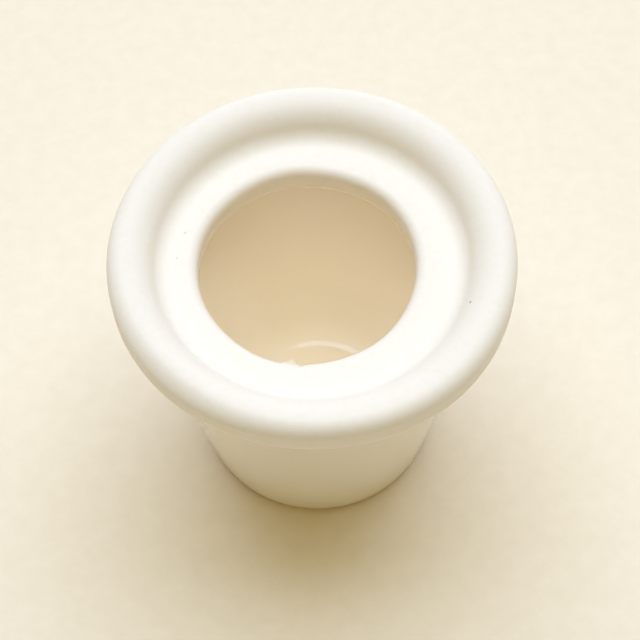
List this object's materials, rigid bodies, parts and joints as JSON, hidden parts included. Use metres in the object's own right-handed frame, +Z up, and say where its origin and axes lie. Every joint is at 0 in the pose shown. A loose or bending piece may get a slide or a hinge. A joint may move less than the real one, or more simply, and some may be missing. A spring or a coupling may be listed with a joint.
{
  "type": "desk inkwell",
  "caption": "White glazed ceramic desk inkwell: a tapered cup with a wide rolled and dished rim that hangs in a desk hole, and a round mouth for dipping a pen.",
  "frame": {"origin": "on the ground at the centre of the foot, below the centre of the rim", "axes": "+Z up along the pot's axis; the mouth sits 0.65 mm off that axis towards -X"},
  "size_m": [0.051, 0.051, 0.044],
  "materials": {
    "bare_clay": "fired, unglazed, matt",
    "slip": "fired slip, matt",
    "glaze": "glossy white glaze"
  },
  "bodies": {
    "root": {"cup": "bare_clay", "dished_rim": "bare_clay", "slip_joint": "slip", "glaze_coat": "glaze", "foot_glaze": "glaze"}
  },
  "joints": []
}
